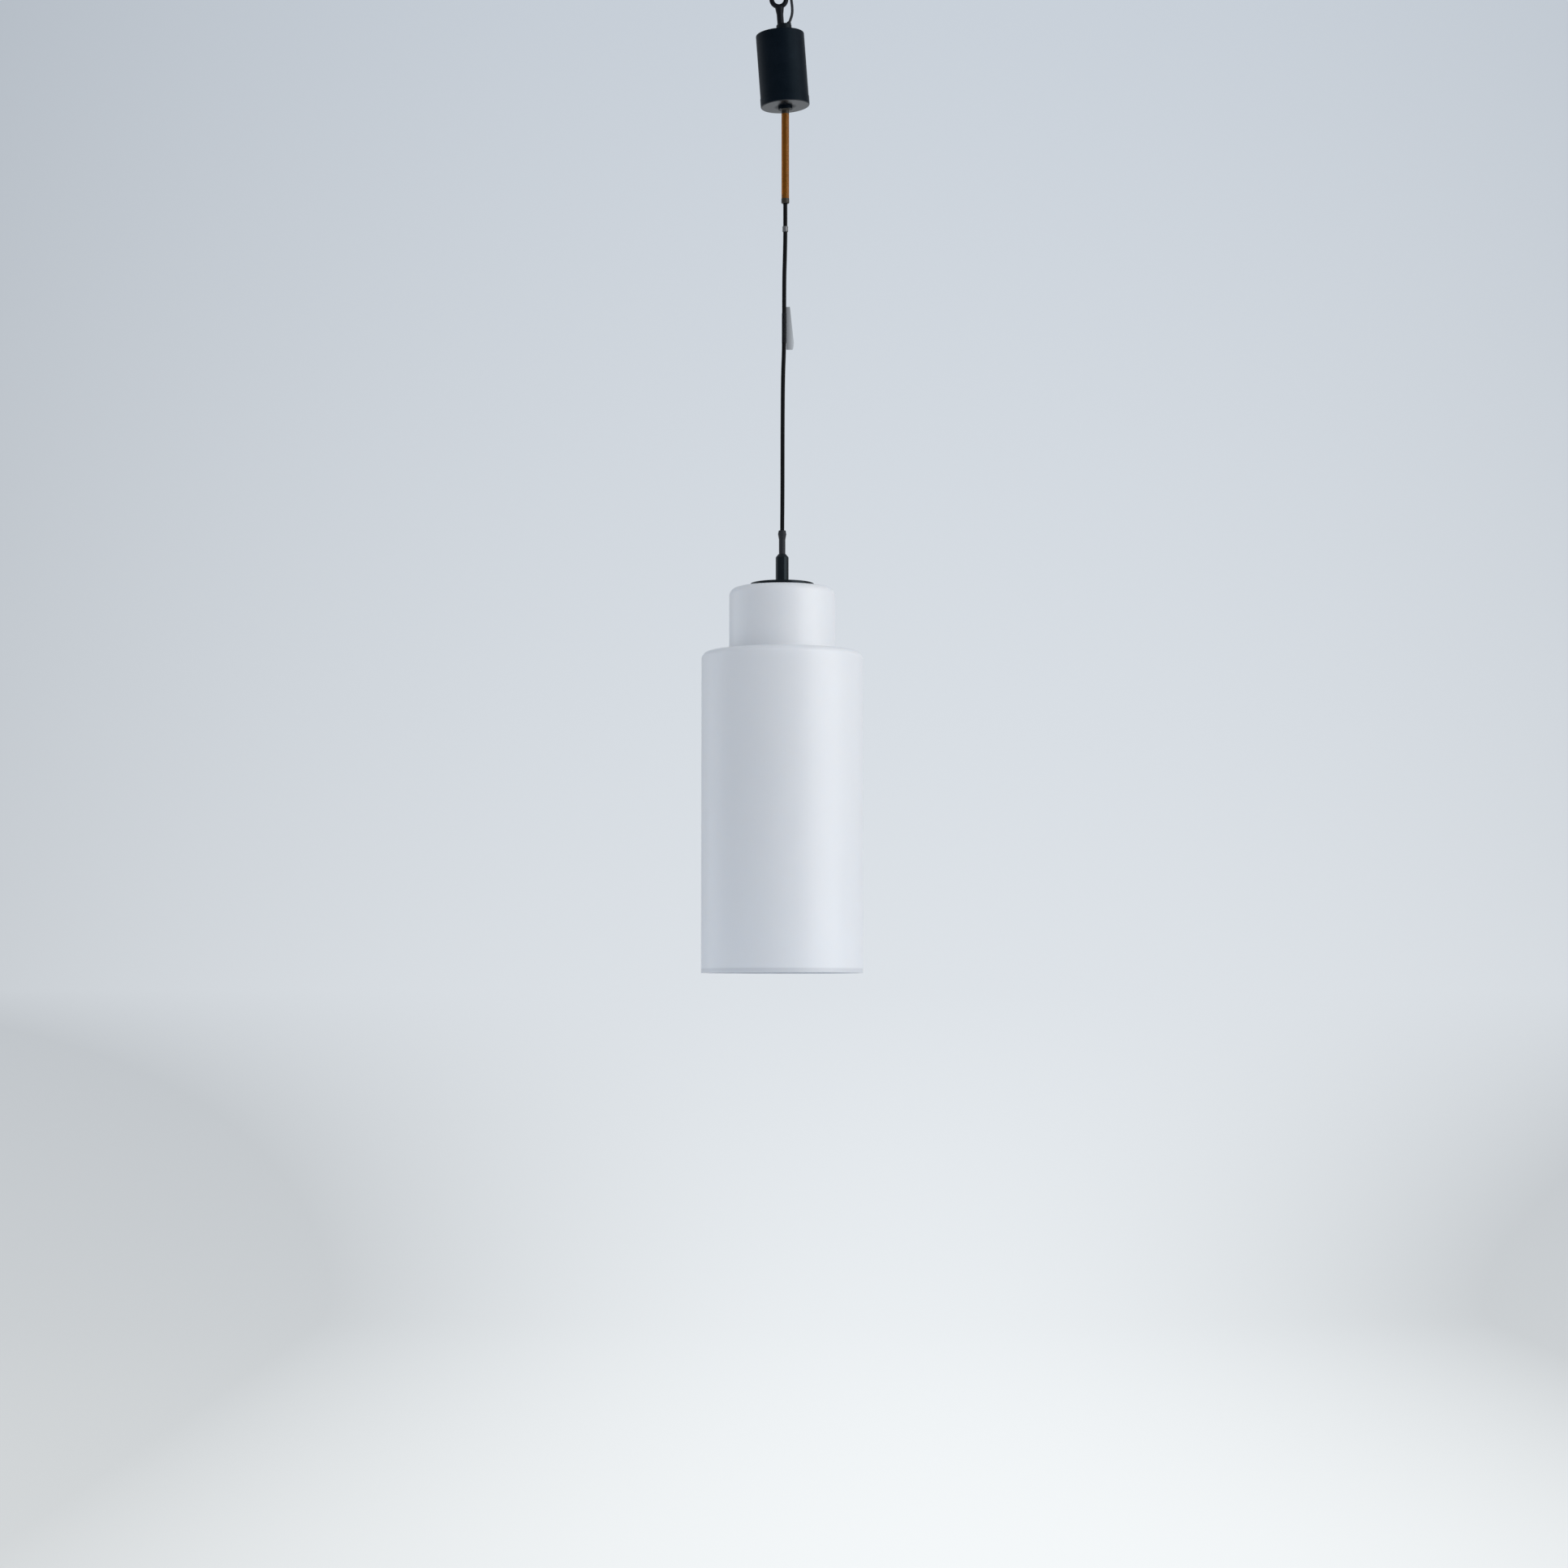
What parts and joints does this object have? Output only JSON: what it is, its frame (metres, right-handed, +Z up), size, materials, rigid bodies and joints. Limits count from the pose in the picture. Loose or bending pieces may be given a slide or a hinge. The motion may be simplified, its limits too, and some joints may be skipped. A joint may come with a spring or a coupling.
{
  "type": "rise and fall pendant",
  "caption": "Pendant lamp with a tall opal glass shade, stepped in at the top, on a spring reel that hangs from a ceiling hook and lets the lamp be pulled down",
  "frame": {"origin": "on the ceiling, plumb above the hook's bend, where the ceiling strap is fixed", "axes": "+Z up, out of the ceiling strap's upper face; +X to the right in the picture; +Y away from the viewer"},
  "size_m": [0.1995, 0.1996, 1.3],
  "materials": {
    "steel": "zinc plated",
    "black_steel": "blackened steel",
    "spring_steel": "blued spring steel",
    "black_paint": "satin black",
    "case_plastic": "fine satin black",
    "grey_plastic": "natural nylon",
    "brush_board": "laminated board",
    "gland_rubber": "moulded",
    "supply_sheath": "smooth grey sheath",
    "cord_sheath": "smooth black sheath",
    "contact_brass": "bare",
    "amber_plastic": "amber, slightly clear",
    "dark_plastic": "dark brown",
    "bright_ferrule": "bright crimp",
    "flag_plastic": "thin grey film",
    "black_gloss": "gloss black",
    "felt": "pressed felt",
    "opal_glass": "cased opal, satin gloss",
    "holder_plastic": "moulded black",
    "holder_ceramic": "unglazed",
    "bulb_metal": "pressed thread",
    "bulb_opal": "opal"
  },
  "bodies": {
    "ceiling": {"ceiling_plate": "steel", "ceiling_hook": "black_steel", "hook_nut": "steel", "canopy_cup": "black_paint", "canopy_collar": "black_paint", "collar_screw": "steel", "canopy_grommet": "gland_rubber", "terminal_block": "grey_plastic", "terminal_screws": "steel", "supply_tail": "supply_sheath"},
    "reel": {"hanger_eye": "black_steel", "hanger_nut": "steel", "top_boss": "black_paint", "supply_gland": "gland_rubber", "supply_flex": "supply_sheath", "reel_shell": "case_plastic", "bottom_cover": "case_plastic", "cover_screws": "steel", "reel_frame": "steel", "nozzle": "case_plastic", "fairlead": "case_plastic", "drum_axle": "steel", "axle_clips": "steel", "spring_arbor": "spring_steel", "brush_holder": "brush_board", "brushes": "contact_brass", "feed_cord": "cord_sheath"},
    "drum": {"cord_drum": "grey_plastic", "drum_lid": "grey_plastic", "mainspring": "spring_steel", "slip_rings": "contact_brass", "cord_layer_inner": "cord_sheath", "cord_layer_outer": "cord_sheath"},
    "guide": {"guide_ball": "dark_plastic", "guide_tube": "amber_plastic", "guide_tip": "dark_plastic"},
    "lamp": {"upper_cord": "cord_sheath", "lower_cord": "cord_sheath", "crimped_stop": "bright_ferrule", "cord_flag": "flag_plastic", "strain_relief": "gland_rubber", "cord_grip": "black_gloss", "grip_screw": "steel", "cap_nut": "black_gloss", "glass_cap": "black_paint", "upper_felt": "felt", "lower_felt": "felt", "glass_shade": "opal_glass", "inner_plate": "steel", "nipple": "contact_brass", "nipple_nut": "contact_brass", "holder_cap": "holder_plastic", "holder_shell": "holder_plastic", "holder_insert": "holder_ceramic", "holder_contact": "contact_brass", "bulb_cap": "bulb_metal", "bulb_glass": "bulb_opal"}
  },
  "joints": [
    {"name": "hook_swing", "type": "hinge", "parent": "ceiling", "child": "reel", "pos_m": [0, 0, -0.0765], "axis": [0, 1, 0], "range_deg": [-25, 25], "deforming": ["supply_flex"]},
    {"name": "drum_spin", "type": "hinge", "parent": "reel", "child": "drum", "pos_m": [0.00463, 0, -0.1668], "axis": [0, 1, 0], "range_deg": [-80, 2190], "deforming": ["feed_cord"]},
    {"name": "guide_swing", "type": "hinge", "parent": "reel", "child": "guide", "pos_m": [0.00829, 0, -0.21667], "axis": [0, 1, 0], "range_deg": [-19, 10]},
    {"name": "lamp_height", "type": "slide", "parent": "guide", "child": "lamp", "axis": [0, 0, 1], "range_m": [-0.8, 0.028], "deforming": ["upper_cord"]}
  ],
  "couplings": [
    {"joint": "drum_spin", "follows": "lamp_height", "rad_per_m": -47.281}
  ]
}
